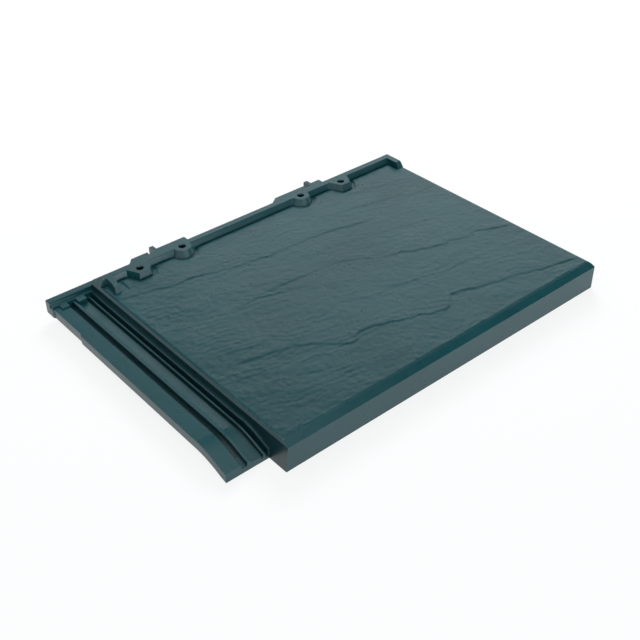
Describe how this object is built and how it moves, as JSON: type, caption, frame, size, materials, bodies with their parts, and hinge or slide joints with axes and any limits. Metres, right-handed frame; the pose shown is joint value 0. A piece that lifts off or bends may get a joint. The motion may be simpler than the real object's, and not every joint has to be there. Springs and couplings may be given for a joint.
{
  "type": "flat interlocking roof tile",
  "caption": "Flat glazed clay roof tile with a riven slate-like face, a side lock of grooves along one edge and a raised head rim with nail holes.",
  "frame": {"origin": "centre of the bounding box in plan, on the plane the tile lies on", "axes": "+X across the roof slope from the side lock to the covering edge, +Y up the slope from tail to head, +Z out of the weather face"},
  "size_m": [0.4442, 0.318, 0.0339],
  "materials": {
    "glazed_clay": "satin slate-coloured glaze over fired clay"
  },
  "bodies": {
    "root": {"tile_body": "glazed_clay"}
  },
  "joints": []
}
